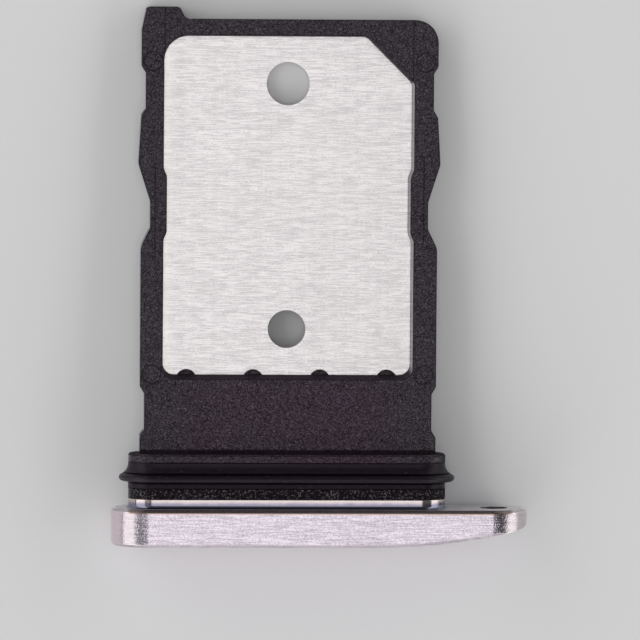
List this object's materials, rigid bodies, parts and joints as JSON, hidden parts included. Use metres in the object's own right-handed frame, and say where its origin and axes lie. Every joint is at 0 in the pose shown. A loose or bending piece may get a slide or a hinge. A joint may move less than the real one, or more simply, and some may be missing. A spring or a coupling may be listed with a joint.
{
  "type": "sim card tray",
  "caption": "Slide-in tray that holds a chip card in a phone: pocketed frame, thin metal floor, soft seal and a metal face plate with a release hole.",
  "frame": {"origin": "centre of the tray's bounding box in X and Y, at the lowest point of the face plate in Z", "axes": "+Y is the way the tray slides into the phone, -Y is out of the phone through the face plate, +Z is out of the card pocket, +X completes the right-handed frame and points to the side with the release hole"},
  "size_m": [0.0152, 0.0198, 0.0026],
  "materials": {
    "frame_plastic": "fine grained, glass filled",
    "floor_steel": "brushed across the tray",
    "seal_rubber": "smooth, dull",
    "cap_metal": "satin, anodised pale lilac pink"
  },
  "bodies": {
    "root": {"carrier_frame": "frame_plastic", "floor_plate": "floor_steel", "seal_ring": "seal_rubber", "end_cap": "cap_metal"}
  },
  "joints": []
}
